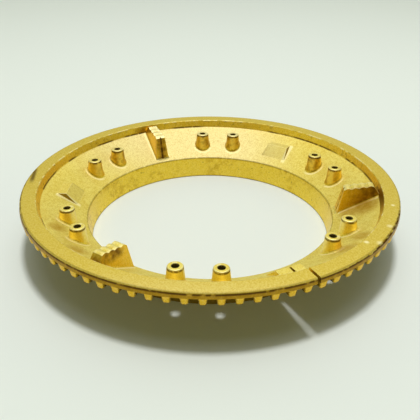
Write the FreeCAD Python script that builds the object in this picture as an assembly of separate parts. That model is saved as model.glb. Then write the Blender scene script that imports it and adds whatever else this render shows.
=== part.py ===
import FreeCAD, Part
import math
import os

# Brass cap for the outer ring of a two-ring gas burner, cast in one piece.
# Millimetres and degrees, +Z up, origin at the centre of the collar's foot, one fin on +X.

# Rim and step
outer_diameter = 130.0
cap_height = 19.0
rim_width = 5.5
rim_edge = 0.5
rim_inner_edge = 0.25
step_depth = 2.8
step_lean = 0.85

# Dish, bore and collar
bore_diameter = 87.0
bore_edge_height = 8.0
bore_taper = 1.0
plate_thickness = 2.0
collar_wall = 3.0

# Flame teeth and the slots between them
tooth_count = 84
rim_thickness = 1.8
tooth_height = 2.5
tooth_face_lean = 0.4
slot_width = 2.2
slot_draft = 0.3
slot_wall = 1.5

# Flame slit, right through the casting from the nipples' circle to the outer edge
slit_width = 0.8
slit_inset = 5.5

# Nipples, in pairs
nipple_pairs = 6
nipple_spread = 15.0
nipple_inset = 6.5
nipple_height = 5.1
nipple_diameter = 5.4
nipple_hole_diameter = 2.35

# Serrated fins
fin_count = 3
fin_foot_inset = 1.6
fin_inner_lean = 1.7
fin_outer_bite = 0.3
fin_outer_lean = 2.1
fin_rise = 0.2
fin_fall = 1.7
fin_top_width = 3.4
fin_draft = 5.0
fin_crests = 4
fin_crest_height = 0.7
fin_crest_radius = 1.1
fin_groove_width = 0.6
fin_groove_depth = 0.35

# Wedge pads
pad_count = 3
pad_foot_inset = 3.3
pad_length = 7.7
pad_top_length = 3.4
pad_top_width = 8.6
pad_draft = 15.0

# Places worked out from the sizes above
outer_radius = outer_diameter / 2
rim_inner_radius = outer_radius - rim_width
dish_outer_radius = rim_inner_radius - step_lean
dish_outer_height = cap_height - step_depth
bore_radius = bore_diameter / 2
foot_radius = bore_radius - bore_taper
collar_radius = foot_radius + collar_wall
dish_slope = (dish_outer_height - bore_edge_height) / (dish_outer_radius - bore_radius)
plate_drop = plate_thickness * math.hypot(1, dish_slope)
slot_roof_height = cap_height - rim_thickness
tooth_foot_height = slot_roof_height - tooth_height
nipple_radius = bore_radius + nipple_inset
pad_outer_foot = bore_radius + pad_foot_inset + pad_length
pad_ridge_radius = pad_outer_foot - pad_top_length
first_pad_angle = -180.0 / pad_count
above_all = 2 * cap_height
beyond_all = 2 * outer_radius

Z_AXIS = FreeCAD.Vector(0, 0, 1)
CENTRE = FreeCAD.Vector(0, 0, 0)


def dish_height(radius):
    """Height of the dish's upper face at a radius."""
    return bore_edge_height + (radius - bore_radius) * dish_slope


def plate_middle(radius):
    """Height of the middle of the plate under the dish at a radius."""
    return dish_height(radius) - plate_drop / 2


def rounding(last, here, following, radius):
    """Arc that rounds the corner between three points."""
    to_last = (last - here).normalize()
    to_next = (following - here).normalize()
    half_angle = to_last.getAngle(to_next) / 2
    reach = radius / math.tan(half_angle)
    inward = (to_last + to_next).normalize()
    middle = here + inward * (radius / math.sin(half_angle) - radius)
    return Part.Arc(here + to_last * reach, middle, here + to_next * reach).toShape()


def outline(corners, radius=0, rounded=()):
    """Closed face in the XZ plane through (x, z) corners, the numbered ones rounded."""
    points = [FreeCAD.Vector(x, 0, z) for x, z in corners]
    edges = []
    ends = []
    for i, point in enumerate(points):
        if i not in rounded:
            ends.append((point, point))
            continue
        edge = rounding(points[i - 1], point, points[(i + 1) % len(points)], radius)
        edges.append(edge)
        ends.append((edge.firstVertex(True).Point, edge.lastVertex(True).Point))
    for i, (entry, leave) in enumerate(ends):
        edges.append(Part.makeLine(leave, ends[(i + 1) % len(ends)][0]))
    return Part.Face(Part.Wire(Part.__sortEdges__(edges)))


def turned(corners):
    """Solid of revolution of an outline about the cap's axis."""
    return outline(corners).revolve(CENTRE, Z_AXIS, 360)


def prism_across(side, width):
    """Prism of a side outline, centred on the XZ plane."""
    prism = side.extrude(FreeCAD.Vector(0, width, 0))
    prism.translate(FreeCAD.Vector(0, -width / 2, 0))
    return prism


def prism_along(corners, start, end):
    """Prism of an end outline, running along X from start to end."""
    prism = outline(corners).extrude(FreeCAD.Vector(0, start - end, 0))
    prism.rotate(CENTRE, Z_AXIS, 90)
    prism.translate(FreeCAD.Vector(start, 0, 0))
    return prism


def drafted(top_width, top_height, draft):
    """Long wall on +X that widens downwards from its top width."""
    half_top = top_width / 2
    half_foot = half_top + top_height * math.tan(math.radians(draft))
    corners = [(-half_foot, 0), (half_foot, 0), (half_top, top_height), (-half_top, top_height)]
    return prism_along(corners, 0, beyond_all)


def round_the_axis(shape, angles):
    """Copies of a shape, turned about the cap's axis."""
    copies = []
    for angle in angles:
        copy = shape.copy()
        copy.rotate(CENTRE, Z_AXIS, angle)
        copies.append(copy)
    return copies


def evenly(count, first=0.0):
    """Angles of a number of places spaced evenly round the axis."""
    return [first + 360.0 * i / count for i in range(count)]


def ring_body():
    """Rim, solid tooth band, step, dish and collar, all turned."""
    under_collar = dish_height(collar_radius) - plate_drop
    tooth_inner = bore_radius + (tooth_foot_height + plate_drop - bore_edge_height) / dish_slope
    return turned([
        (foot_radius, 0),
        (collar_radius, 0),
        (collar_radius, under_collar),
        (tooth_inner, tooth_foot_height),
        (outer_radius - tooth_face_lean, tooth_foot_height),
        (outer_radius, cap_height - rim_edge),
        (outer_radius - rim_edge, cap_height),
        (rim_inner_radius + rim_inner_edge, cap_height),
        (rim_inner_radius, cap_height - rim_inner_edge),
        (dish_outer_radius, dish_outer_height),
        (bore_radius, bore_edge_height)])


def nipple_angles():
    """Angle of each nipple, two to a pair, with the pairs between the fins and the pads."""
    angles = []
    for centre in evenly(nipple_pairs, 180.0 / nipple_pairs):
        angles += [centre - nipple_spread / 2, centre + nipple_spread / 2]
    return angles


def nipple():
    """Upright stub on the nipple circle, at angle zero."""
    stub = Part.makeCylinder(nipple_diameter / 2, dish_height(nipple_radius) + nipple_height)
    stub.translate(FreeCAD.Vector(nipple_radius, 0, 0))
    return stub


def fin():
    """Radial wall with a serrated top that rises outwards, at angle zero."""
    inner_foot = bore_radius + fin_foot_inset
    inner_top = inner_foot + fin_inner_lean
    outer_foot = dish_outer_radius + fin_outer_bite
    outer_top = outer_foot - fin_outer_lean
    outer_height = cap_height + fin_rise
    inner_height = outer_height - fin_fall
    pitch = (outer_top - inner_top) / fin_crests
    climb = fin_fall / fin_crests
    corners = [(inner_foot, 0), (inner_foot, dish_height(inner_foot)), (inner_top, inner_height)]
    crests = []
    for i in range(fin_crests):
        crests.append(len(corners))
        crest_height = inner_height + (i + 0.5) * climb + fin_crest_height
        corners.append((inner_top + (i + 0.5) * pitch, crest_height))
        corners.append((inner_top + (i + 1) * pitch, inner_height + (i + 1) * climb))
    corners += [(outer_foot, dish_outer_height), (outer_foot, 0)]
    wall = prism_across(outline(corners, fin_crest_radius, crests), beyond_all)
    wall = wall.common(drafted(fin_top_width, outer_height + fin_crest_height, fin_draft))
    groove = [
        (inner_foot + fin_groove_depth, dish_height(inner_foot)),
        (inner_top + fin_groove_depth, inner_height),
        (inner_top + fin_groove_depth, above_all),
        (inner_foot - fin_inner_lean, above_all),
        (inner_foot - fin_inner_lean, dish_height(inner_foot))]
    return wall.cut(prism_across(outline(groove), fin_groove_width))


def pad():
    """Low wedge with a level top, at angle zero."""
    inner_foot = bore_radius + pad_foot_inset
    level = dish_height(pad_outer_foot)
    corners = [
        (inner_foot, 0),
        (inner_foot, dish_height(inner_foot)),
        (pad_ridge_radius, level),
        (dish_outer_radius, level),
        (dish_outer_radius, 0)]
    return prism_across(outline(corners), beyond_all).common(drafted(pad_top_width, level, pad_draft))


def on_the_plate(forms):
    """Forms cut off inside the plate, so that none shows under it."""
    above_plate = turned([
        (bore_radius, plate_middle(bore_radius)),
        (rim_inner_radius, plate_middle(rim_inner_radius)),
        (rim_inner_radius, above_all),
        (bore_radius, above_all)])
    return [form.common(above_plate) for form in forms]


def slots():
    """Tapered gaps between the teeth, open outwards and downwards."""
    half_roof = slot_width / 2
    half_below = half_roof + 2 * slot_draft
    below = tooth_foot_height - tooth_height
    roof = slot_roof_height
    corners = [(-half_roof, roof), (half_roof, roof), (half_below, below), (-half_below, below)]
    slot = prism_along(corners, rim_inner_radius + slot_wall, beyond_all)
    return round_the_axis(slot, evenly(tooth_count))


def slit():
    """Slit that carries the flame from the nipples out to the teeth, in line with the first pad."""
    half = slit_width / 2
    corners = [(-half, 0), (half, 0), (half, above_all), (-half, above_all)]
    cut = prism_along(corners, bore_radius + slit_inset, beyond_all)
    cut.rotate(CENTRE, Z_AXIS, first_pad_angle)
    return cut


def nipple_holes():
    """Flame holes, straight down through the nipples and the plate."""
    hole = Part.makeCylinder(nipple_hole_diameter / 2, above_all)
    hole.translate(FreeCAD.Vector(nipple_radius, 0, 0))
    return round_the_axis(hole, nipple_angles())


def burner_cap():
    """The whole casting."""
    pads = round_the_axis(pad(), evenly(pad_count, first_pad_angle))
    nipples = round_the_axis(nipple(), nipple_angles())
    fins = round_the_axis(fin(), evenly(fin_count))
    cap = ring_body().fuse(on_the_plate(pads + nipples + fins))
    return cap.cut(slots() + nipple_holes() + [slit()])


os.makedirs("parts", exist_ok=True)
cap = burner_cap()
print("burner_cap:", cap.isValid(), len(cap.Solids), "solid,", round(cap.Volume), "mm3")
cap.exportStep("parts/burner_cap.step")
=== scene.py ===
# %% [markdown]
# # A cast brass gas burner cap
#
# The real part is a ring, cast in brass in one pour and only lightly cleaned up. It sits on a gas
# burner and shares the flame out: through the slots between the teeth under its rim, and through
# the nipples on its dish. The CAD model already has every form at its true size. This lesson
# models the ring again with rounded cast edges and soft fillets, then gives it its brass and its light.

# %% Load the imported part
import math

import bmesh
import bpy
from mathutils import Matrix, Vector


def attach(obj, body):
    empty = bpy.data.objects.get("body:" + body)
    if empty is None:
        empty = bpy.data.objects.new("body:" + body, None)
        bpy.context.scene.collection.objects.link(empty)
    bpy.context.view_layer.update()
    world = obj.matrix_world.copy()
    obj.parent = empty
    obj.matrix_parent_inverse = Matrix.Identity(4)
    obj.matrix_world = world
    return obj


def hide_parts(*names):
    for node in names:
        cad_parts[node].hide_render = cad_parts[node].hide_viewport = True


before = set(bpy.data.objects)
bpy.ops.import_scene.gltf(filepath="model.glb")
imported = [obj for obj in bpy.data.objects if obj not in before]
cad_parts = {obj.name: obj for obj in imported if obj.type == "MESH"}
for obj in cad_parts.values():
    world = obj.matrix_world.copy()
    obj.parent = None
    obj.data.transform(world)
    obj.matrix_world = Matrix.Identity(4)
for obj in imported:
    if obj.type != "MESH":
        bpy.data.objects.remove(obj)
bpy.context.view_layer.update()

# %% [markdown]
# ## Helpers
#
# Blender works in metres and the drawing is in millimetres, so one factor turns one into the other.
# In edit mode an operator acts on what is selected. By hand we would click. Here `pick` selects
# everything whose corners all pass a test on their place. `draw_outline` draws a closed line, which
# both the ring and the fins start from.

# %% Pick by place
MM = 0.001
same_place = 0.01


def pick(kind, inside):
    """Selects the vertices, edges or faces whose corners all lie inside, a test on x, y, z in mm."""
    bpy.ops.mesh.select_mode(type=kind)
    bpy.ops.mesh.select_all(action='DESELECT')
    mesh = bmesh.from_edit_mesh(bpy.context.object.data)
    elements = {'VERT': mesh.verts, 'EDGE': mesh.edges, 'FACE': mesh.faces}[kind]
    count = 0
    for element in elements:
        corners = [element] if kind == 'VERT' else element.verts
        if all(inside(*(corner.co / MM)) for corner in corners):
            element.select_set(True)
            count += 1
    bmesh.update_edit_mesh(bpy.context.object.data)
    return count


def near(a, b):
    """True for two millimetre values that are the same but for rounding."""
    return abs(a - b) < same_place


print("one millimetre is", MM, "m, and places within", same_place, "mm are the same")

# %% Draw an outline
def draw_outline(name, corners):
    """Starts a piece as a closed outline of (x, z) corners, in mm, drawn by extruding one vertex."""
    bpy.ops.object.select_all(action='DESELECT')
    bpy.ops.mesh.primitive_plane_add(size=MM)
    piece = bpy.context.object
    piece.name = name
    bpy.ops.object.mode_set(mode='EDIT')
    bpy.ops.mesh.select_mode(type='VERT')
    bpy.ops.mesh.merge(type='CENTER')
    x, z = corners[0]
    bpy.ops.transform.translate(value=(x * MM, 0, z * MM))
    for next_x, next_z in corners[1:]:
        move = {"value": ((next_x - x) * MM, 0, (next_z - z) * MM)}
        bpy.ops.mesh.extrude_region_move(TRANSFORM_OT_translate=move)
        x, z = next_x, next_z
    ends = (corners[0], corners[-1])
    pick('VERT', lambda x, y, z: any(near(x, end[0]) and near(z, end[1]) for end in ends))
    bpy.ops.mesh.edge_face_add()
    return piece


print("outlines are drawn in the plane y = 0")

# %% [markdown]
# ## The ring's section
#
# The body of the cap is a turned shape, so it starts as one section: collar, sloping dish, step and
# rim. A section could be typed in as a mesh. Extruding a vertex from corner to corner is how it is
# done by hand, and rounding the corners with a vertex bevel keeps the drawing down to its corners.

# %% Draw the section
outer_radius = 65.0
cap_height = 19.0
rim_inner_radius = 59.5
dish_outer = (58.65, 16.2)
bore_edge = (43.5, 8.0)
foot_radius = 42.5
collar_radius = 45.5
roof_height = 17.2
tooth_foot_height = 14.7
tooth_lean = 0.4
rim_lean = 0.3
slot_end_radius = 61.0
plate_drop = 2.274
dish_slope = (dish_outer[1] - bore_edge[1]) / (dish_outer[0] - bore_edge[0])


def dish_height(radius):
    """Height of the dish at a radius, in mm."""
    return bore_edge[1] + (radius - bore_edge[0]) * dish_slope


collar_root = (collar_radius, dish_height(collar_radius) - plate_drop)
plate_end_radius = bore_edge[0] + (tooth_foot_height + plate_drop - bore_edge[1]) / dish_slope
section = [
    (foot_radius, 0.0),
    (collar_radius, 0.0),
    collar_root,
    (plate_end_radius, tooth_foot_height),
    (slot_end_radius, tooth_foot_height),
    (outer_radius - tooth_lean, tooth_foot_height),
    (outer_radius, roof_height),
    (outer_radius - rim_lean, cap_height),
    (rim_inner_radius, cap_height),
    dish_outer,
    bore_edge]
ring = draw_outline("burner_cap_casting", section)
print("section corners:", len(section))

# %% Round its corners
roundings = [
    ((outer_radius - rim_lean, cap_height), 0.5, 4),
    ((rim_inner_radius, cap_height), 0.3, 3),
    (dish_outer, 0.3, 3),
    (bore_edge, 0.35, 3),
    ((foot_radius, 0.0), 0.3, 2),
    ((collar_radius, 0.0), 0.3, 2),
    (collar_root, 0.8, 3)]
for corner, size, segments in roundings:
    pick('VERT', lambda x, y, z: near(x, corner[0]) and near(z, corner[1]))
    bpy.ops.mesh.bevel(offset=size * MM, segments=segments, affect='VERTICES')
print("rounded section:", len(bmesh.from_edit_mesh(ring.data).verts), "vertices")

# %% [markdown]
# ## One pitch of the ring
#
# There are 84 slots, and each pitch is the same: half a tooth, a slot, half a tooth. So only one
# pitch is modelled. Spin sweeps the section through those three angles, which puts an edge exactly
# where each wall of the slot will stand.

# %% Sweep the section through one pitch
tooth_count = 84
slot_width = 2.2
pitch = 2 * math.pi / tooth_count
slot_half_angle = math.asin(slot_width / 2 / outer_radius)
tooth_half_angle = pitch / 2 - slot_half_angle
centre = (0, 0, 0)
up = (0, 0, 1)

bpy.ops.mesh.select_all(action='SELECT')
bpy.ops.transform.rotate(value=-pitch / 2, orient_axis='Z', center_override=centre)
bpy.ops.mesh.spin(steps=1, angle=tooth_half_angle, center=centre, axis=up)
bpy.ops.mesh.spin(steps=2, angle=2 * slot_half_angle, center=centre, axis=up)
bpy.ops.mesh.spin(steps=1, angle=tooth_half_angle, center=centre, axis=up)
sides = [vertex.co.y / MM for vertex in bmesh.from_edit_mesh(ring.data).verts]
print("one pitch runs from y", round(min(sides), 3), "to", round(max(sides), 3), "mm")

# %% [markdown]
# ## The slot and its teeth
#
# In the middle of the pitch the underside is pushed up to make the slot. Extrude leaves a wall on
# all four sides of it. The outer wall is deleted, so the slot opens outwards, and the doubled
# vertices are merged. Then the mouth is widened, because a casting needs draft to leave its mould.

# %% Push the slot up into the band
slot_depth = roof_height - tooth_foot_height
hair = 0.02


def in_slot(x, y, z):
    """True between the walls of the slot, outside its end wall."""
    radius = math.hypot(x, y)
    return abs(y) < radius * math.sin(slot_half_angle) + hair and radius > slot_end_radius - hair


def on_outer_wall(x, y, z):
    """True on the part of the outer wall that closes the slot."""
    return in_slot(x, y, z) and x > outer_radius - tooth_lean - 2 * hair and z < roof_height + hair


pick('FACE', lambda x, y, z: in_slot(x, y, z) and near(z, tooth_foot_height))
bpy.ops.mesh.extrude_region_move(TRANSFORM_OT_translate={"value": (0, 0, slot_depth * MM)})
foot_wall = outer_radius - tooth_lean
pick('VERT', lambda x, y, z: on_outer_wall(x, y, z) and near(z, roof_height) and x < foot_wall + hair)
lean_back = outer_radius / foot_wall
bpy.ops.transform.resize(value=(lean_back, lean_back, 1), center_override=centre)
print("faces taken out of the outer wall:", pick('FACE', on_outer_wall))
bpy.ops.mesh.delete(type='FACE')
bpy.ops.mesh.select_all(action='SELECT')
bpy.ops.mesh.remove_doubles(threshold=same_place * MM)

# %% Widen the mouth of the slot
slot_draft = 0.3
pick('VERT', lambda x, y, z: in_slot(x, y, z) and near(z, tooth_foot_height))
bpy.ops.transform.resize(value=(1, 1 + 2 * slot_draft / slot_width, 1), center_override=centre)
print("slot:", slot_width, "mm wide at its roof and", slot_width + 2 * slot_draft, "mm at its mouth")

# %% [markdown]
# Cast teeth have no sharp corners. The edges round each half tooth get a small bevel now, while
# there is only one pitch to select in. The bevel ends on the open sides of the pitch at the same
# place on both, so the copies will still meet.

# %% Round the teeth
tooth_rounding = 0.65
sharp = math.radians(50)


def pick_tooth_edges():
    """Selects the sharp outward edges that start at the foot of the teeth."""
    bpy.ops.mesh.select_mode(type='EDGE')
    bpy.ops.mesh.select_all(action='DESELECT')
    mesh = bmesh.from_edit_mesh(ring.data)
    count = 0
    for edge in mesh.edges:
        foot = min((vertex.co / MM for vertex in edge.verts), key=lambda place: place.z)
        on_tooth = math.hypot(foot.x, foot.y) > slot_end_radius - 2 * hair
        at_foot = near(foot.z, tooth_foot_height) and on_tooth
        if at_foot and edge.is_convex and edge.calc_face_angle(0) > sharp:
            edge.select_set(True)
            count += 1
    bmesh.update_edit_mesh(ring.data)
    return count


print("tooth edges rounded:", pick_tooth_edges())
bpy.ops.mesh.bevel(offset=tooth_rounding * MM, segments=4, affect='EDGES')

# %% [markdown]
# ## The whole ring
#
# Spin with copies instead of a sweep repeats the pitch round the axis. The neighbours share their
# edges, so merging by distance closes the ring, and the normals are then turned outwards.

# %% Copy the pitch round the axis
bpy.ops.mesh.select_all(action='SELECT')
copies = tooth_count - 1
bpy.ops.mesh.spin(steps=copies, dupli=True, angle=copies * pitch, center=centre, axis=up)
bpy.ops.mesh.select_all(action='SELECT')
bpy.ops.mesh.remove_doubles(threshold=same_place * MM)
bpy.ops.mesh.normals_make_consistent(inside=False)
mesh = bmesh.from_edit_mesh(ring.data)
print("ring:", len(mesh.faces), "faces, open edges:", sum(not edge.is_manifold for edge in mesh.edges))
bpy.ops.object.mode_set(mode='OBJECT')

# %% [markdown]
# ## A nipple
#
# Twelve nipples stand upright on the sloping dish, each cast with a soft fillet round its foot. A
# cylinder gives the stub. Its foot is stretched and tilted until it lies on the slope, then spread
# into a skirt just under the surface, and a bevel of the corner between stub and skirt is the fillet.

# %% Start the stub
nipple_circle = 50.0
nipple_height = 5.1
nipple_top_radius = 2.4
nipple_foot_radius = 2.95
nipple_foot = Vector((nipple_circle, 0, dish_height(nipple_circle)))
nipple_top = nipple_foot.z + nipple_height
slope_angle = math.atan(dish_slope)


def start_primitive(add, name, **settings):
    """Adds a primitive alone in the selection, with its place in its mesh, and opens it in edit mode."""
    bpy.ops.object.select_all(action='DESELECT')
    add(**settings)
    piece = bpy.context.object
    piece.name = name
    bpy.ops.object.transform_apply(location=True, rotation=True, scale=True)
    bpy.ops.object.mode_set(mode='EDIT')
    return piece


nipples = start_primitive(
    bpy.ops.mesh.primitive_cylinder_add, "nipples", vertices=48, radius=nipple_top_radius * MM,
    depth=nipple_height * MM, location=(nipple_foot + Vector((0, 0, nipple_height / 2))) * MM)
print("stub:", nipple_height, "mm tall, from", round(nipple_foot.z, 2), "mm up")

# %% Tilt its foot on to the slope
taper = nipple_foot_radius / nipple_top_radius
pick('FACE', lambda x, y, z: near(z, nipple_foot.z))
foot_stretch = (taper / math.cos(slope_angle), taper, 1)
bpy.ops.transform.resize(value=foot_stretch, center_override=nipple_foot * MM)
bpy.ops.transform.rotate(value=slope_angle, orient_axis='Y', center_override=nipple_foot * MM)
foot_corners = [v.co / MM for v in bmesh.from_edit_mesh(nipples.data).verts if v.select]
foot_miss = max(abs(corner.z - dish_height(corner.x)) for corner in foot_corners)
print("the foot leaves the slope by", round(foot_miss, 3), "mm at most")

# %% Spread the foot into a skirt
nipple_skirt = 1.1
skirt_sink = 0.12
root_depth = 0.9


def spread_foot(spread):
    """Spreads the selected foot under the dish by a factor on each axis, and sinks it into the plate."""
    bpy.ops.mesh.extrude_region_move()
    bpy.ops.transform.resize(value=spread)
    bpy.ops.transform.translate(value=(0, 0, -skirt_sink * MM))
    bpy.ops.mesh.extrude_region_move(TRANSFORM_OT_translate={"value": (0, 0, -root_depth * MM)})


spread_foot((1 + nipple_skirt / nipple_foot_radius,) * 3)
print("skirt:", nipple_skirt, "mm wide,", skirt_sink, "mm under the dish")

# %% Round its foot and its lip
foot_fillet = 0.8
lip_rounding = 0.4


def from_nipple_axis(x, y):
    """Distance from the axis of the nipple that is being modelled."""
    return math.hypot(x - nipple_circle, y)


def on_foot_line(x, y, z):
    """True on the corner between the stub and its skirt."""
    return near(from_nipple_axis(x, y), nipple_foot_radius) and abs(z - dish_height(x)) < hair


print("foot edges:", pick('EDGE', on_foot_line))
bpy.ops.mesh.bevel(offset=foot_fillet * MM, segments=6, affect='EDGES')
print("lip edges:", pick('EDGE', lambda x, y, z: near(z, nipple_top)))
bpy.ops.mesh.bevel(offset=lip_rounding * MM, segments=4, affect='EDGES')

# %% Copy it in pairs round the dish
pair_count = 6
pair_spread = math.radians(15)


def copy_in_pairs():
    """Copies what is in edit mode to the twelve places of the nipples."""
    bpy.ops.mesh.select_all(action='SELECT')
    first = math.pi / pair_count + pair_spread / 2
    bpy.ops.transform.rotate(value=-first, orient_axis='Z', center_override=centre)
    bpy.ops.mesh.spin(steps=1, dupli=True, angle=pair_spread, center=centre, axis=up)
    bpy.ops.mesh.select_all(action='SELECT')
    turns = (pair_count - 1) * 2 * math.pi / pair_count
    bpy.ops.mesh.spin(steps=pair_count - 1, dupli=True, angle=turns, center=centre, axis=up)
    bpy.ops.object.mode_set(mode='OBJECT')


copy_in_pairs()
print("nipples:", len(nipples.data.polygons), "faces")

# %% [markdown]
# ## A wedge pad
#
# Three low pads lie between the fins. Each has a level top outside and a long face that runs down
# inwards from its ridge. A plane is the level top. Its ridge edge is extruded down to the dish, the
# two triangles beside it are filled, and the open loop round it becomes the skirt.

# %% Fold the pad from a plane
pad_ridge = 51.1
pad_outer = 54.5
pad_inner = 46.8
pad_half_width = 4.3
pad_draft = math.radians(15)
pad_level = dish_height(pad_outer)
pad_fall = pad_level - dish_height(pad_inner)
pads = start_primitive(
    bpy.ops.mesh.primitive_plane_add, "pads", size=MM,
    location=((pad_ridge + pad_outer) / 2 * MM, 0, pad_level * MM))
bpy.ops.transform.resize(value=(pad_outer - pad_ridge, 2 * pad_half_width, 1))
pick('EDGE', lambda x, y, z: near(x, pad_ridge))
fall = {"value": ((pad_inner - pad_ridge) * MM, 0, -pad_fall * MM)}
bpy.ops.mesh.extrude_region_move(TRANSFORM_OT_translate=fall)
pad_widening = 1 + pad_fall * math.tan(pad_draft) / pad_half_width
bpy.ops.transform.resize(value=(1, pad_widening, 1))
for side in (-1, 1):
    pick('VERT', lambda x, y, z: y * side > 0)
    bpy.ops.mesh.edge_face_add()
print("pad: level at", round(pad_level, 2), "mm, falling", round(pad_fall, 2), "mm inwards")

# %% Spread its foot, round it and copy it
pad_count = 3
pad_fillet = 0.45
pad_rounding = 0.3
skirt = 0.8
pad_length = pad_outer - pad_inner
pad_spread = 1 + 2 * skirt / pad_length
bpy.ops.mesh.select_mode(type='EDGE')
bpy.ops.mesh.select_all(action='DESELECT')
bpy.ops.mesh.select_non_manifold()
bpy.ops.mesh.edge_face_add()
spread_foot((pad_spread, 1 + skirt / pad_half_width, pad_spread))


def finish_edges(piece, on_foot, fillet, rounding):
    """Fillets the foot of a raised form and rounds its other edges."""
    print(piece.name, "foot edges:", pick('EDGE', on_foot))
    bpy.ops.mesh.bevel(offset=fillet * MM, segments=5, affect='EDGES')
    bpy.ops.mesh.select_all(action='SELECT')
    bpy.ops.mesh.normals_make_consistent(inside=False)
    bpy.ops.object.mode_set(mode='OBJECT')
    bevel = piece.modifiers.new("rounding", 'BEVEL')
    bevel.width = rounding * MM
    bevel.segments = 3
    bevel.limit_method = 'ANGLE'
    bevel.angle_limit = math.radians(30)
    bpy.ops.object.modifier_apply(modifier=bevel.name)


def copy_round(piece, count, first):
    """Turns a piece to its first angle and copies it round the axis."""
    bpy.ops.object.mode_set(mode='EDIT')
    bpy.ops.mesh.select_all(action='SELECT')
    bpy.ops.transform.rotate(value=-first, orient_axis='Z', center_override=centre)
    turns = (count - 1) * 2 * math.pi / count
    bpy.ops.mesh.spin(steps=count - 1, dupli=True, angle=turns, center=centre, axis=up)
    bpy.ops.object.mode_set(mode='OBJECT')
    print(piece.name, "faces:", len(piece.data.polygons))


finish_edges(pads, lambda x, y, z: abs(z - dish_height(x)) < hair, pad_fillet, pad_rounding)
copy_round(pads, pad_count, math.pi / pad_count)

# %% [markdown]
# ## A serrated fin
#
# Three fins stand from the dish to a little above the rim, with four rounded steps along the top and
# a narrow groove down the inner end. Half of one fin is drawn from the side and extruded sideways in
# three stages: the groove's floor, its slanted wall, and the side, which is turned for draft.

# %% Draw its side
fin_inner_foot = 45.1
fin_inner_top = 46.8
fin_outer_top = 56.85
fin_outer_foot = 58.95
fin_inner_height = 17.5
fin_outer_height = 19.2
fin_crests = 4
crest_height = 0.7
crest_cut = 0.7
fin_foot_inner = (fin_inner_foot, dish_height(fin_inner_foot))
fin_foot_outer = (fin_outer_foot, dish_height(fin_outer_foot))
step_length = (fin_outer_top - fin_inner_top) / fin_crests
step_rise = (fin_outer_height - fin_inner_height) / fin_crests


def on_fin_top(step):
    """The corner on the fin's rising top line that lies a number of steps from its inner end."""
    return (fin_inner_top + step * step_length, fin_inner_height + step * step_rise)


crest_middles = [on_fin_top(i + 0.5) for i in range(fin_crests)]
crests = [(x, z + crest_height) for x, z in crest_middles]
fin_side = [fin_foot_inner, on_fin_top(0)]
for i, crest in enumerate(crests):
    fin_side += [crest, on_fin_top(i + 1)]
fins = draw_outline("fins", fin_side + [fin_foot_outer])
pick('VERT', lambda x, y, z: any(near(x, crest[0]) and near(z, crest[1]) for crest in crests))
bpy.ops.mesh.bevel(offset=crest_cut * MM, segments=5, affect='VERTICES')
bpy.ops.mesh.select_all(action='SELECT')
bpy.ops.mesh.edge_face_add()
print("fin side:", len(bmesh.from_edit_mesh(fins.data).verts), "vertices")

# %% Extrude half of it sideways
groove_depth = 0.35
groove_half_floor = 0.2
groove_half_mouth = 0.38
fin_half_top = 1.7
fin_draft = math.radians(5)


def on_inner_end(x, y, z):
    """True on the two corners at the inner end of the fin's side."""
    at_ends = near(z, fin_inner_height) or near(z, fin_foot_inner[1])
    return x < fin_inner_top + groove_depth + hair and at_ends


def push_sideways(start, end):
    """Extrudes the fin's side, at one y, to another."""
    pick('FACE', lambda x, y, z: near(y, start))
    bpy.ops.mesh.extrude_region_move(TRANSFORM_OT_translate={"value": (0, (end - start) * MM, 0)})


groove_shift = Vector((groove_depth, 0, groove_depth * dish_slope)) * MM
pick('VERT', on_inner_end)
bpy.ops.transform.translate(value=groove_shift)
push_sideways(0, groove_half_floor)
push_sideways(groove_half_floor, groove_half_mouth)


def on_groove_mouth(x, y, z):
    """True on the corners at the inner end that stand at the mouth of the groove."""
    low = z < fin_inner_height + groove_depth
    return near(y, groove_half_mouth) and x < fin_inner_top + 2 * groove_depth and low


pick('VERT', on_groove_mouth)
bpy.ops.transform.translate(value=-groove_shift)
push_sideways(groove_half_mouth, fin_half_top)
top_edge = (0, fin_half_top * MM, (fin_outer_height + crest_height) * MM)
bpy.ops.transform.rotate(value=-fin_draft, orient_axis='X', center_override=top_edge)
pick('FACE', lambda x, y, z: near(y, 0))
bpy.ops.mesh.delete(type='FACE')
widths = [v.co.y / MM for v in bmesh.from_edit_mesh(fins.data).verts]
print("half fin:", round(min(widths), 2), "to", round(max(widths), 2), "mm wide")

# %% Mirror it, spread its foot and copy it
fin_count = 3
fin_fillet = 0.7
fin_rounding = 0.35
bpy.ops.object.mode_set(mode='OBJECT')
mirror = fins.modifiers.new("other_half", 'MIRROR')
mirror.use_axis = (False, True, False)
mirror.merge_threshold = same_place * MM
bpy.ops.object.modifier_apply(modifier=mirror.name)
bpy.ops.object.mode_set(mode='EDIT')
foot_drop = 0.12


def on_fin_foot(x, y, z):
    """True on the foot of the fin, which lies on the slope."""
    return abs(z - dish_height(x)) < foot_drop


pick('FACE', on_fin_foot)
fin_length = fin_outer_foot - fin_inner_foot
fin_spread = 1 + 2 * skirt / fin_length
spread_foot((fin_spread, 1 + skirt / max(widths), fin_spread))
finish_edges(fins, on_fin_foot, fin_fillet, fin_rounding)
copy_round(fins, fin_count, 0)

# %% [markdown]
# ## One casting
#
# The nipples, pads and fins were poured with the ring, so they are one piece with it. A Boolean
# union joins them: it trims each skirt where it dips under the dish, which leaves only the fillet.
# Fillets could be bevelled on the joined mesh, but its edges there are too uneven for that.

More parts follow.
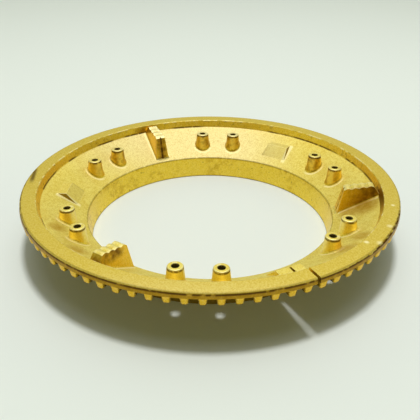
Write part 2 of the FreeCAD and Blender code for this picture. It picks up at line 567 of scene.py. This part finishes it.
# %% Join the raised forms to the ring
def boolean(tool, operation):
    """Joins a closed tool to the ring or cuts it out, and removes the tool."""
    bpy.ops.object.select_all(action='DESELECT')
    bpy.context.view_layer.objects.active = ring
    modifier = ring.modifiers.new(tool.name, 'BOOLEAN')
    modifier.object = tool
    modifier.operation = operation
    modifier.solver = 'EXACT'
    bpy.ops.object.modifier_apply(modifier=modifier.name)
    bpy.data.objects.remove(tool)
    print(operation.lower(), "leaves", len(ring.data.polygons), "faces")


for raised in (nipples, pads, fins):
    boolean(raised, 'UNION')

# %% [markdown]
# ## Flame holes and slit
#
# Gas comes up through a hole in each nipple, and a narrow slit, sawn right through the casting,
# carries the flame from the nipples out to the teeth. Faces could be deleted and bridged by hand,
# but a Boolean difference with a tool of the right shape leaves clean walls: a drill whose top
# flares for the chamfer, and a blade that tapers inwards.

# %% Drill the flame holes
hole_radius = 1.175
hole_chamfer = 0.12
drill_top = nipple_top - hole_chamfer
drills = start_primitive(
    bpy.ops.mesh.primitive_cylinder_add, "drills", vertices=40, radius=hole_radius * MM,
    depth=drill_top * MM, location=(nipple_circle * MM, 0, drill_top / 2 * MM))
pick('FACE', lambda x, y, z: near(z, drill_top))
bpy.ops.mesh.extrude_region_move(TRANSFORM_OT_translate={"value": (0, 0, 2 * hole_chamfer * MM)})
flare = 1 + 2 * hole_chamfer / hole_radius
bpy.ops.transform.resize(value=(flare, flare, 1))
bpy.ops.mesh.extrude_region_move(TRANSFORM_OT_translate={"value": (0, 0, MM)})
copy_in_pairs()
boolean(drills, 'DIFFERENCE')

# %% Cut the flame slit
slit_azimuth = math.radians(-59.5)
slit_start = 49.2
slit_end = 66.0
slit_width = 0.95
slit_inner_width = 0.7
slit_tall = 24.0
slit_middle = (slit_start + slit_end) / 2
slit = start_primitive(
    bpy.ops.mesh.primitive_cube_add, "slit", size=MM, location=(slit_middle * MM, 0, slit_tall / 2 * MM),
    scale=(slit_end - slit_start, slit_width, slit_tall))
pick('FACE', lambda x, y, z: x < slit_middle)
bpy.ops.transform.resize(value=(1, slit_inner_width / slit_width, 1))
bpy.ops.mesh.select_all(action='SELECT')
bpy.ops.transform.rotate(value=-slit_azimuth, orient_axis='Z', center_override=centre)
bpy.ops.object.mode_set(mode='OBJECT')
boolean(slit, 'DIFFERENCE')

# %% [markdown]
# ## Knocks on the rim
#
# A brass edge takes dents when parts are thrown together in a bin. Flat balls, each of its own size,
# are cut out of the outer edge, most of them along one side of the rim. They are joined first, so
# one Boolean cuts them all.

# %% Chip the outer edge
chips = [
    (-9.5, 0.5), (-13.0, 0.4), (-17.5, 0.6), (-22.0, 0.8), (-25.6, 0.6), (-29.2, 0.75), (-33.3, 0.9),
    (-37.4, 0.65), (-41.5, 0.5), (-47.0, 0.45), (-118.0, 0.4), (-146.0, 0.45), (152.0, 0.45),
    (166.0, 0.4)]
past_edge = 0.1
below_edge = 0.1
chip_place = ((outer_radius - rim_lean + past_edge) * MM, 0, (cap_height - below_edge) * MM)
chip_stretch = (0.75, 2.2, 0.8)
balls = []
for degrees, size in chips:
    ball = start_primitive(
        bpy.ops.mesh.primitive_ico_sphere_add, "chip", subdivisions=2, radius=size * MM,
        location=chip_place)
    bpy.ops.transform.resize(value=chip_stretch)
    bpy.ops.transform.rotate(value=-math.radians(degrees), orient_axis='Z', center_override=centre)
    bpy.ops.object.mode_set(mode='OBJECT')
    balls.append(ball)
for ball in balls:
    ball.select_set(True)
bpy.ops.object.join()
boolean(bpy.context.object, 'DIFFERENCE')
print("chips in the edge:", len(chips))

# %% [markdown]
# ## Smooth shading
#
# The ring is round and its edges are rounded, so most of it shades smooth, with sharp edges kept
# where two faces meet at a real angle. Weighted normals keep the flat faces flat beside their bevels.

# %% Shade the casting
smooth_below = math.radians(38)
bpy.ops.object.select_all(action='DESELECT')
ring.select_set(True)
bpy.context.view_layer.objects.active = ring
bpy.ops.object.shade_smooth_by_angle(angle=smooth_below)
weighted = ring.modifiers.new("weighted", 'WEIGHTED_NORMAL')
weighted.keep_sharp = True
bpy.ops.object.modifier_apply(modifier=weighted.name)
print("sharp edges kept:", sum(edge.use_edge_sharp for edge in ring.data.edges))

# %% [markdown]
# ## Bright edges and dark creases
#
# Tumbling rubs the edges brighter than the skin beside them, and they also get a painted highlight,
# where a rounded edge would catch the lamp. Where the surface bends inwards dirt stays, and painted
# shade darkens the crease. The material can't see edges, so each vertex is told how sharply the
# surface bends there, outwards in one attribute and inwards in another. Vertices of wide faces get
# nothing, because their value would spread over the whole face.

# %% Write the bend of the surface on its vertices
wide_face = 2.0
full_bend = 0.5
plain_bend = 0.3
mesh = bmesh.new()
mesh.from_mesh(ring.data)
outward_bend = mesh.verts.layers.float.new("outward_bend")
creased = mesh.verts.layers.float.new("creased")
for vertex in mesh.verts:
    if max(face.calc_area() for face in vertex.link_faces) < wide_face * MM ** 2:
        bends = [edge.calc_face_angle_signed(0) for edge in vertex.link_edges]
        vertex[outward_bend] = min(max(0, *bends) / full_bend, 1)
        vertex[creased] = min(max(0, *(-bend for bend in bends)) / full_bend, 1)
print("vertices:", len(mesh.verts))
print("plainly rubbed:", sum(vertex[outward_bend] > plain_bend for vertex in mesh.verts))
print("plainly creased:", sum(vertex[creased] > plain_bend for vertex in mesh.verts))
print("open edges:", sum(not edge.is_manifold for edge in mesh.edges))
print("triangles:", sum(len(face.verts) - 2 for face in mesh.faces))
mesh.to_mesh(ring.data)
mesh.free()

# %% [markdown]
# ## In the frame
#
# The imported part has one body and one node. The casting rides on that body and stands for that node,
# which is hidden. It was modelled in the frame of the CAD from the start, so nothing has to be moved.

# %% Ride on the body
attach(ring, "root")
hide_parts("burner_cap")
print(ring.name, "rides on root and stands for burner_cap")

# %% [markdown]
# ## Shader maths in plain Python
#
# A material is a net of nodes, and a net of Math nodes is hard to read. A small class that wraps a
# socket and knows the signs + - * / lets a mask be written as a sum, and each sign adds its Math
# node. Every other node comes from one method: its type, its settings, and then its inputs.

# %% A socket that can be used in sums
class Wire:
    """An output socket of the node tree that is being wired, for use in sums."""

    tree = None

    def __init__(self, socket):
        self.socket = socket

    @classmethod
    def add(cls, kind, settings, inputs, output=0):
        """Adds a node, with its settings first and then the values or links of its inputs."""
        node = cls.tree.nodes.new(kind)
        for name, value in settings.items():
            setattr(node, name, value)
        for name, value in inputs.items():
            if isinstance(value, Wire):
                cls.tree.links.new(value.socket, node.inputs[name])
            else:
                node.inputs[name].default_value = value
        return cls(node.outputs[output])

    def math(self, operation, *others):
        """A Math node on this socket and any others."""
        return self.add('ShaderNodeMath', {"operation": operation}, dict(enumerate((self,) + others)))

    def __add__(self, other):
        return self.math('ADD', other)

    def __sub__(self, other):
        return self.math('SUBTRACT', other)

    def __rsub__(self, other):
        return (self * -1) + other

    def __mul__(self, other):
        return self.math('MULTIPLY', other)

    def __truediv__(self, other):
        return self.math('DIVIDE', other)

    __radd__ = __add__
    __rmul__ = __mul__

    def step(self, start, end):
        """A soft step, 0 before start and 1 after end, or the other way round if end comes first."""
        values = {"Value": self, "From Min": start, "From Max": end}
        return self.add('ShaderNodeMapRange', {"interpolation_type": 'SMOOTHSTEP'}, values)

    def between(self, start, full, fading, end):
        """A soft window, 0 up to start, 1 from full to fading, and 0 again from end on."""
        return self.step(start, full) * self.step(end, fading)


print("a Wire adds a Math node for each of the signs + - * /")

# %% [markdown]
# ## Where a point lies on the casting
#
# Every mask below asks the same things of a point: how far it is from the axis and from the edges of
# the rim, how high it lies, and how far it is from the nearest nipple. Object coordinates give its
# place, so the answers stay with the casting when it moves. All of them are in millimetres.

# %% Measure the point from the axis and the rim
def axes(vector):
    """The three parts of a vector socket."""
    return [Wire.add('ShaderNodeSeparateXYZ', {}, {"Vector": vector}, axis) for axis in "XYZ"]


def diagonal(across, along):
    """Length of the straight line that goes so far across and so far along."""
    return (across * across + along * along).math('SQRT')


brass = bpy.data.materials.new("cast_brass")
brass.use_nodes = True
Wire.tree = brass.node_tree
place = Wire.add('ShaderNodeTexCoord', {}, {}, "Object")
east, north, rise = (part / MM for part in axes(place))
radius = diagonal(east, north)
azimuth = north.math('ARCTAN2', east)
below_top = cap_height - rise
from_outside = outer_radius - radius
past_inside = radius - rim_inner_radius
past_bore = radius - bore_edge[0]
print("wired the point's place in", len(brass.node_tree.nodes), "nodes")

# %% [markdown]
# The twelve nipples fold on to one, because they repeat and mirror round the axis. A Ping-Pong node
# does that to the azimuth, so one distance serves all of them.

# %% Measure the point from its nipple
sector = math.pi / pair_count
folded = azimuth.math('PINGPONG', sector) - (sector - pair_spread / 2)
from_nipple = diagonal(radius - nipple_circle, radius * folded)
print("nipples folded into sectors of", round(math.degrees(sector), 1), "degrees")

# %% [markdown]
# ## Noise at four scales
#
# The sand of the mould leaves a fine grain and coarser specks, the melt leaves a mottled skin, and
# handling leaves soft clouds of paler and deeper yellow. One kind of noise at four sizes gives all
# of them.

# %% Grain, specks, mottle and clouds
def noise(size, detail=2.0):
    """Noise from 0 to 1 whose lumps are about size mm across."""
    values = {"Vector": place, "Scale": 1 / (size * MM), "Detail": detail, "Roughness": 0.55}
    return Wire.add('ShaderNodeTexNoise', {}, values, "Fac")


grain = noise(0.45, 3.0)
speck = noise(1.0)
mottle = noise(2.0)
clouds = noise(9.0)
print("noises of 0.45, 1, 2 and 9 mm")

# %% [markdown]
# ## Which way the surface faces
#
# Level faces were rubbed matt and steep ones kept their cast lustre, so the finish must know which
# way a face looks. Steep faces are also coloured amber, partly as painted reflection. The underside
# is duller than the top, and darker: partly its skin and partly painted shade under the cap. The
# walls between the teeth look sideways, along the rim, and are painted dark as shade: a normal's
# share along the rim tells them from the teeth's outer faces.

# %% Steep faces, the underside and slot walls
normal_x, normal_y, normal_z = axes(Wire.add('ShaderNodeTexCoord', {}, {}, "Normal"))
steep = normal_z.math('ABSOLUTE').step(0.8, 0.45)
along_rim = ((normal_y * east - normal_x * north) / radius).math('ABSOLUTE')
under_dish = dish_height(radius) - rise
past_collar = radius - collar_radius
# the underside: painted darker, partly its skin and partly painted shade under the cap
hidden = under_dish.step(0.9, 1.8) * past_collar.step(-0.3, -0.05) * from_outside.step(1.0, 1.8)
# the walls between the teeth, which get painted shade
slot_wall = along_rim.step(0.5, 0.8) * from_outside.between(0.8, 1.5, 4.0, 4.4) * below_top.step(1.6, 1.8)
print("masks of facing: steep, hidden and slot_wall")

# %% [markdown]
# ## Rim, step, band and bore
#
# Each turned face of the ring is found by its radius and height. A ragged dark line under the rim's
# outer edge is partly dirt and partly painted shade, the outer edge itself is a little darker as
# painted reflection, and the band below is browner, partly stain and partly painted shade. Dirt and
# painted shade lie in long arcs in the corner below the step, dirt in a hair line round the top of
# the bore, which has small pits, and painted shade where the bore stands on the floor.

# %% Masks of the turned faces
on_rim = past_inside.step(-0.2, 0.1) * below_top.step(0.25, 0.05)
on_step = steep * past_inside.between(-1.2, -0.8, 0.3, 0.7)
on_outer_side = from_outside.step(1.1, 0.7) * below_top.step(0.25, 0.5)
on_band = from_outside.step(0.8, 0.5) * below_top.between(0.3, 0.5, 1.7, 2.0)
# under the rim's edge: partly dirt, partly painted shade
under_edge = from_outside.step(0.7, 0.5) * below_top.between(0.28, 0.4, 0.7, 1.1)
# the outer edge: a little darker as painted reflection, and darker where knocked
outer_edge = from_outside.step(1.0, 0.6) * below_top.step(0.7, 0.5)
inner_edge = past_inside.between(-0.3, -0.05, 0.1, 0.45) * below_top.step(0.5, 0.2)
dark_corner_place = (dish_outer[0] + 0.2, dish_outer[1] + 0.1)
from_corner = diagonal(radius - dark_corner_place[0], rise - dark_corner_place[1])
# the corner below the step: dirt and painted shade
in_corner = from_corner.step(0.55, 0.2) * noise(11.0, 1.0).step(0.46, 0.56) * mottle.step(0.3, 0.45)
on_bore = past_bore.step(0.25, 0.05)
# where the bore stands on the floor: painted shade
foot_edge = on_bore * rise.step(0.6, 0.2)
bore_line = past_bore.between(-0.2, -0.05, 0.25, 0.5) * (rise - bore_edge[1]).step(-0.5, -0.2)
pits = on_bore * noise(1.1, 1.0).step(0.72, 0.77)
print("masks of the rim, step, band, corner and bore")

# %% [markdown]
# ## Nipples
#
# Each nipple is darker than the dish, with the sides of the back ones painted darker as shade, a dark
# line under its lip that is partly dirt and partly painted shade, and a hole that is painted dark
# inside as shade. The fillet round its foot is a ring of its own, for the painted highlight below.
# The distance from a nipple's axis finds all of these at once, so no face has to be picked by hand.

# %% Masks of the nipples
# inside the flame holes, which get painted shade
in_hole = from_nipple.step(1.3, 1.1)
lip_drop = nipple_top - rise
# under the lip: partly dirt, partly painted shade
under_lip = from_nipple.between(2.2, 2.4, 2.8, 3.0) * lip_drop.between(0.2, 0.4, 0.6, 1.1)
on_nipple = from_nipple.step(3.4, 3.0) * steep
foot_ring = from_nipple.between(3.3, 3.6, 3.9, 4.4)
print("masks of the nipples")

# %% [markdown]
# ## Fins and pads
#
# The three fins fold on to one, as the nipples did, and the pads lie half-way between them. So the
# distance across a fin and the distance across a pad come from the same folded azimuth.

# %% Masks of the fins and pads
third = math.pi / fin_count
from_fin = azimuth.math('PINGPONG', third)
across_fin = radius * from_fin
past_fin_start = radius - fin_inner_foot
past_fin_end = radius - fin_outer_foot
on_fin = across_fin.step(3.7, 3.0) * past_fin_start.step(-0.2, 0.1) * past_fin_end.step(0.25, -0.05)
on_fin = on_fin * (1 - hidden)
# the groove down each fin's inner end, which gets painted shade
in_groove = on_fin * across_fin.step(0.45, 0.25) * past_fin_start.step(2.9, 2.3) * steep
beside_fin = across_fin.between(2.5, 2.9, 3.2, 3.8) * (1 - steep)
beside_fin = beside_fin * past_fin_start.step(0.1, 0.7) * past_fin_end.step(-0.35, -0.75)
past_pad_side = radius * (third - from_fin) - pad_half_width
pad_face = radius.between(pad_inner - 0.2, pad_inner + 0.4, pad_ridge - 0.1, pad_ridge + 0.4)
pad_face = pad_face * past_pad_side.step(0.9, 0.5) * (1 - steep)
# beside the pads; on the back pads their steep sides get painted shade
beside_pad = radius.between(pad_inner - 0.8, pad_inner, pad_outer - 0.1, pad_outer + 0.5)
beside_pad = beside_pad * past_pad_side.between(-0.3, 0.0, 1.1, 1.9) * north.step(-25, -15)
print("masks of the fins and pads")

# %% [markdown]
# ## Wear, highlight and shade on the edges
#
# The two attributes that were written on the vertices come back here: edges that bend outwards are
# painted bright, partly as rubbed wear and partly as painted highlight, and those that bend inwards
# are darkened, partly by dirt and partly by painted shade. The line round the bore is left out.

# %% Bright edges and dark creases
def attribute(name):
    """A float attribute of the mesh."""
    return Wire.add('ShaderNodeAttribute', {"attribute_name": name}, {}, "Fac")


dish_end = radius - dish_outer[0]
inside_rim = (1 - hidden) * (1 - bore_line) * dish_end.step(-0.05, -0.45)
# bright edges: partly rubbed wear, partly painted highlight
bright_edge = attribute("outward_bend").step(0.15, 0.6) * inside_rim * (1 - 0.2 * on_fin)
bright_edge = bright_edge * (0.5 + 0.5 * mottle)
# inward bends: partly dirt, partly painted shade
crease = attribute("creased").step(0.2, 0.7) * inside_rim
print("masks from the attributes rubbed and creased")

# %% [markdown]
# ## Painted highlights at the feet
#
# The fillets are painted bright on one side only, south of each nipple and pad, and beside the feet
# of the fins: a painted highlight, where the fillets would mirror the bright room. To know which side
# a point is on, the mask needs the azimuth of the nipple or pad that it belongs to: the turn is cut
# into sectors, and each has one at its middle.

# %% Bright feet
def middle(width):
    """The azimuth at the middle of the point's sector, of those that divide the turn by this width."""
    return (azimuth / width).math('FLOOR') * width + width / 2


def highest(*masks):
    """The highest of several masks at each point."""
    result = masks[0]
    for mask in masks[1:]:
        result = result.math('MAXIMUM', mask)
    return result


pair_azimuth = middle(2 * sector)
nipple_azimuth = pair_azimuth + (azimuth - pair_azimuth).math('SIGN') * (pair_spread / 2)
south_of_nipple = nipple_circle * nipple_azimuth.math('SINE') - north
# painted highlight on the south side of each nipple's foot fillet
foot_arc = foot_ring * south_of_nipple.step(0.5, 3.0)
south_of_pad = radius * middle(2 * third).math('SINE') - north
# painted highlight on the south side of each pad's foot
pad_foot = beside_pad * (1 - steep) * south_of_pad.step(0.0, 1.0)
# all painted highlights at the feet, with those beside the fins
foot_highlights = highest(foot_arc, pad_foot, beside_fin) * 0.8
# these feet carry painted highlights
print("masks of the rubbed feet of nipples, pads and fins")

# %% [markdown]
# ## Single marks
#
# Some marks are not spread evenly: amber patches on the dish, which are a painted reflection of the
# fins and nipples beside them, a few bright knocks on the rim, fins that are browner in places, partly
# stain and partly painted shade, and a step wall with painted shade in places. Each is a soft round
# spot at its own place, in millimetres from the axis. A dark smear lies across the left of the rim,
# at a slant, so it is a soft line instead.

# %% Spots at their places
def spots(marks):
    """A mask of soft round spots, each given as east, north, size in mm and strength."""
    flat = Wire.add('ShaderNodeCombineXYZ', {}, {"X": east, "Y": north})
    masks = []
    for spot_east, spot_north, size, strength in marks:
        values = {0: flat, 1: (spot_east, spot_north, 0)}
        distance = Wire.add('ShaderNodeVectorMath', {"operation": 'DISTANCE'}, values, "Value")
        masks.append(distance.step(size, 0.2 * size) * strength)
    return highest(*masks)


# painted reflection: amber patches where the dish mirrors the fins and nipples
painted_reflections = spots([
    (-47.2, -27.5, 4.0, 0.6), (-37.5, -40.0, 4.5, 0.6), (53.5, -5.5, 7.0, 0.75),
    (49.5, -5.5, 6.0, 0.55), (49.2, -27.0, 4.5, 0.5), (43.8, -33.3, 4.5, 0.5)])
knocks = on_rim * spots([
    (60.7, -13.9, 0.9, 0.9), (48.3, -37.1, 1.1, 0.9), (52.3, -37.3, 1.6, 0.7), (57.0, -27.4, 1.4, 0.6)])
# brown on the fins: partly stain, partly painted shade on their faces
fin_ends = spots([(58.0, 0.0, 12.0, 0.9), (-23.0, 39.8, 3.2, 1.0), (-29.5, -51.0, 4.0, 1.0)])
crest_ends = spots([(-24.2, -45.6, 4.0, 0.9), (-26.5, -49.0, 3.0, 0.7)]) * rise.step(14.5, 17.0)
brown_fins = highest(fin_ends, crest_ends) * on_fin * steep
# painted shade on the step wall
brown_step = on_step * spots([
    (59.0, -6.0, 13.0, 0.7), (-31.0, 50.2, 9.0, 0.6), (-47.0, 36.0, 24.0, 0.35)])
worn_edge = outer_edge * spots([(60.0, -28.0, 24.0, 0.9), (-64.0, -14.0, 34.0, 0.8)])
print("single marks wired, in all", len(brass.node_tree.nodes), "nodes so far")

# %% A smear across the rim
smear_east = -63.5
smear_lean = 0.19
from_smear = (east - smear_east + smear_lean * north).math('ABSOLUTE')
smear = from_smear.step(1.3, 0.1) * north.between(-8.0, -3.0, 3.0, 7.0) * on_rim * 0.75
print("smear at", smear_east, "mm east, leaning", smear_lean, "mm in each mm north")

# %% [markdown]
# ## Colour of the brass
#
# As-cast brass is a soft lemon yellow. The back of the dish and the front of the rim are painted
# paler, a painted highlight where the lamp's reflection falls. The ground rim is a little deeper, and
# the steep faces are amber, partly as painted reflection. The colours go on in coats, as a painter
# would lay glazes: skin, faces, specks, rubbed places with painted highlights, painted reflections
# and painted shade, each over the ones before it.

# %% Name the colours
pale_skin = (0.84, 0.73, 0.20, 1)
deep_skin = (0.80, 0.67, 0.15, 1)
# pale colour of a painted highlight, where the lamp's reflection falls
painted_highlight_skin = (0.84, 0.75, 0.42, 1)
rim_skin = (0.70, 0.55, 0.09, 1)
# amber of the steep faces below: partly their skin, partly painted reflection
wall_skin = (0.90, 0.67, 0.07, 1)
step_skin = (0.87, 0.58, 0.045, 1)
side_skin = (0.80, 0.50, 0.035, 1)
fin_skin = (0.87, 0.57, 0.045, 1)
# partly a dull skin, partly painted shade under the cap
underside_skin_and_shade = (0.34, 0.22, 0.03, 1)
# pale colour of rubbed edges, specks and painted highlights
edge_skin = (0.95, 0.87, 0.50, 1)
amber = (0.52, 0.30, 0.012, 1)
brown = (0.26, 0.125, 0.008, 1)
# dark colour of dirt and of painted shade
dirt_and_shade_colour = (0.085, 0.034, 0.004, 1)
print("palest skin", edge_skin[:3], "and darkest dirt", dirt_and_shade_colour[:3])

# %% Lay the coats
def blend(mask, base, top):
    """One colour over another by a mask."""
    values = {0: mask, 6: base, 7: top}
    return Wire.add('ShaderNodeMix', {"data_type": 'RGBA'}, values, 2)


coats = [
    # painted highlight on the back of the dish
    (north.step(8, 48) * east.step(40, 8) * 0.8, painted_highlight_skin),
    (on_rim, rim_skin),
    # painted highlight on the front of the rim
    (on_rim * north.step(-54, -65) * 0.2, painted_highlight_skin),
    # steep faces, fins, step and outer side amber, partly painted reflection
    (steep, wall_skin),
    (steep * on_fin, fin_skin),
    (on_step, step_skin),
    (on_outer_side, side_skin),
    (speck.step(0.48, 0.68) * 0.12, amber),
    (speck.step(0.42, 0.25) * 0.1, edge_skin),
    (grain.step(0.5, 0.65) * 0.3, amber),
    (grain.step(0.5, 0.35) * 0.15, edge_skin),
    # painted light: the pads' inner faces a little paler
    (pad_face * 0.12, edge_skin),
    # bright edges (wear and painted highlight), painted highlights at the feet, and bright knocks
    (highest(bright_edge * 0.7, foot_highlights, knocks), edge_skin),
    (inner_edge * mottle.step(0.5, 0.6) * 0.6, edge_skin),
    # painted reflection of the fins and nipples in the dish
    (painted_reflections * (0.5 + mottle), amber),
    # mottled brown band, partly stain and partly painted shade under the rim
    (on_band * (0.5 + 0.5 * mottle), brown),
    # brown on the fins, partly stain and partly painted shade
    (brown_fins * (0.4 + 0.8 * mottle), brown),
    # painted shade on the step wall
    (brown_step, brown),
    # painted shade: the sides of the back nipples darker amber
    (on_nipple * north.step(-10, 20) * 0.7, side_skin),
    # brown streaks on the back nipples' sides, partly stain and partly painted shade
    (on_nipple * north.step(0, 30) * mottle.step(0.4, 0.65) * 0.5, brown),
    (on_bore * clouds.step(0.46, 0.64) * mottle.step(0.4, 0.65) * 0.5, amber),
    # painted shade and dull skin on the underside
    (hidden, underside_skin_and_shade)]
skin = blend((clouds + mottle).step(0.8, 1.2), pale_skin, deep_skin)
for mask, coat in coats:
    skin = blend(mask, skin, coat)
print("coats of colour:", len(coats), "over the skin")

# %% [markdown]
# ## Dirt and painted shade
#
# Dirt stays in corners and under edges, and shade is painted in the same dark colour: in corners,
# creases and grooves, under edges and lips, inside holes and slots, on the back pads' sides and where
# the bore stands on the floor. It hides the metal whatever its colour is, so all its places are
# gathered into one mask, which goes over all the coats and later also dulls the lustre.

# %% Lay the dirt and the painted shade
dirt_and_shade = highest(
    # dirt and painted shade under the rim's edge
    under_edge * mottle.step(0.25, 0.45) * 0.85,
    # painted reflection darkening the outer edge
    outer_edge * 0.25,
    worn_edge * mottle.step(0.35, 0.55) * 0.8,
    inner_edge * mottle.step(0.5, 0.3) * 0.3,
    # dirt and painted shade in the corner below the step
    in_corner * 0.85,
    on_step * mottle.step(0.55, 0.7) * 0.25,
    pits * 0.7,
    # painted shade where the bore meets the floor
    foot_edge * 0.5,
    bore_line * mottle.step(0.25, 0.5) * 0.3,
    # painted shade inside the flame holes
    in_hole * 0.9,
    # dirt and painted shade under the lips
    under_lip * mottle.step(0.25, 0.55) * 0.85,
    # painted shade and dirt in creases, more in the fins' valleys
    crease * (0.15 + 0.2 * on_fin),
    # painted shade in the fins' grooves
    in_groove * mottle.step(0.3, 0.55) * 0.85,
    # fins darkened further: partly stain, partly painted shade
    brown_fins * mottle.step(0.4, 0.65) * 0.5,
    # painted shade on the steep sides of the back pads
    beside_pad * steep * 0.65,
    # painted shade on the walls between the teeth
    slot_wall * 0.95,
    smear)
colour = blend(dirt_and_shade, skin, dirt_and_shade_colour)
print("colour and dirt wired, in all", len(brass.node_tree.nodes), "nodes so far")

# %% [markdown]
# ## Lustre
#
# The shader is metal all over, less so where dirt and painted shade cover it. The level faces are
# rougher than the walls, rubbed edges are smoother, and the sand's grain stands in relief as a fine
# bump.

# %% Feed the shader
grain_height = 0.06 * MM
shader = brass.node_tree.nodes["Principled BSDF"]
shader.inputs["Specular IOR Level"].default_value = 0.2
relief = grain + 0.25 * speck
bump = Wire.add('ShaderNodeBump', {}, {"Strength": 0.6, "Distance": grain_height, "Height": relief})
level_roughness = (0.36 - 0.09 * on_rim) * (1 - steep) * (1 - 0.5 * bright_edge)
roughness = 0.32 + 0.1 * grain + 0.25 * dirt_and_shade + level_roughness + 0.2 * hidden
metallic = 1 - 0.3 * dirt_and_shade
surface = {"Base Color": colour, "Roughness": roughness, "Metallic": metallic, "Normal": bump}
for name, value in surface.items():
    brass.node_tree.links.new(value.socket, shader.inputs[name])
ring.data.materials.clear()
ring.data.materials.append(brass)
print("brass nodes:", len(brass.node_tree.nodes))

# %% [markdown]
# ## Floor
#
# The cap lies on a pale greenish white sheet. A plane is enough, because it is only the stage, and
# its plain colour lets the shadow and the light through the holes show.

# %% Lay the sheet
sheet_size = 3
bpy.ops.object.select_all(action='DESELECT')
bpy.ops.mesh.primitive_plane_add(size=sheet_size)
sheet = bpy.context.object
sheet.name = "sheet"
paper = bpy.data.materials.new("paper")
paper.use_nodes = True
paper_shader = paper.node_tree.nodes["Principled BSDF"]
paper_shader.inputs["Base Color"].default_value = (0.79, 0.835, 0.805, 1)
paper_shader.inputs["Roughness"].default_value = 0.9
paper_shader.inputs["Specular IOR Level"].default_value = 0.2
sheet.data.materials.append(paper)
print("sheet:", sheet_size, "m across")

# %% [markdown]
# ## Light
#
# A small round lamp hangs a metre over the cap, a little behind its axis, in a wide dim shade. The
# lamp throws light through the flame holes and the slit on to the sheet, which a large soft light
# would not, and the shade softens the shadow's edge.

# %% Hang the lamp
lamp_place = (0.02, 0.03, 1.0)
scene = bpy.context.scene
scene.view_settings.view_transform = 'Standard'


def hang_lamp(name, size, energy):
    """Hangs a round lamp over the cap, facing down."""
    data = bpy.data.lights.new(name, 'AREA')
    data.shape = 'DISK'
    data.size = size
    data.energy = energy
    lamp = bpy.data.objects.new(name, data)
    lamp.location = lamp_place
    scene.collection.objects.link(lamp)
    print(name, "of", size, "m at", lamp_place, "m:", energy, "W")


hang_lamp("lamp", 0.16, 5.5)
hang_lamp("lamp_shade", 0.8, 2.0)

# %% [markdown]
# ## The room that the brass mirrors
#
# Brass is a blurred mirror, so half of its look is the room. The room is pale behind the cap, warm
# and darker on the camera's side, and glows low down at both sides, which gives a pale rim and amber
# walls. Near the horizon it is plain and pale all round, so that every view has a plain background.
# A modelled room would only be seen as a blur, so the world is graded by direction instead.

# %% Grade the room
pale_air = (0.93, 1.0, 0.92, 1)
warm_air = (1.0, 0.90, 0.28, 1)
side_air = (0.88, 1.0, 0.42, 1)
horizon_glow = 0.8
room = bpy.data.worlds.new("room")
scene.world = room
room.use_nodes = True
Wire.tree = room.node_tree
eastward, behind, skyward = axes(Wire.add('ShaderNodeTexCoord', {}, {}, "Generated"))
sideways = eastward.math('ABSOLUTE')
low = skyward.step(0.6, 0.1)
horizon = skyward.step(0.25, 0.15)
glow = 0.05 + 0.6 * behind.step(-0.2, 0.8) + 0.65 * low * behind.step(0.0, -0.5)
glow = glow + 1.2 * low * sideways.step(0.55, 0.95)
strength = glow * (1 - horizon) + horizon_glow * horizon
air = blend(behind.step(0.2, -0.5), pale_air, warm_air)
air = blend(sideways.step(0.5, 0.95), air, side_air)
air = blend(horizon, air, pale_air)
background = room.node_tree.nodes["Background"]
room.node_tree.links.new(air.socket, background.inputs["Color"])
room.node_tree.links.new(strength.socket, background.inputs["Strength"])
print("room graded in", len(room.node_tree.nodes), "nodes")

# %% [markdown]
# ## Camera
#
# The camera stands where the picture was taken from, found by matching the rim's ellipse, the hole
# and the nipples. It is aimed by a direction and then rolled a little, as a hand-held camera is.

# %% Set the camera
camera_place = Vector((11.744, -181.578, 109.567)) * MM
camera_target = Vector((0.012, 0.001, 6.897)) * MM
camera_roll = math.radians(0.229)
camera_data = bpy.data.cameras.new("camera")
camera_data.lens = 49.262
camera_data.sensor_width = 36
camera_data.clip_start = 0.01
camera = bpy.data.objects.new("camera", camera_data)
scene.collection.objects.link(camera)
camera.location = camera_place
camera.rotation_euler = (camera_target - camera_place).to_track_quat('-Z', 'Y').to_euler()
camera.rotation_euler.rotate_axis('Z', camera_roll)
scene.camera = camera
print("camera", round((camera_target - camera_place).length / MM), "mm from the middle of the cap")
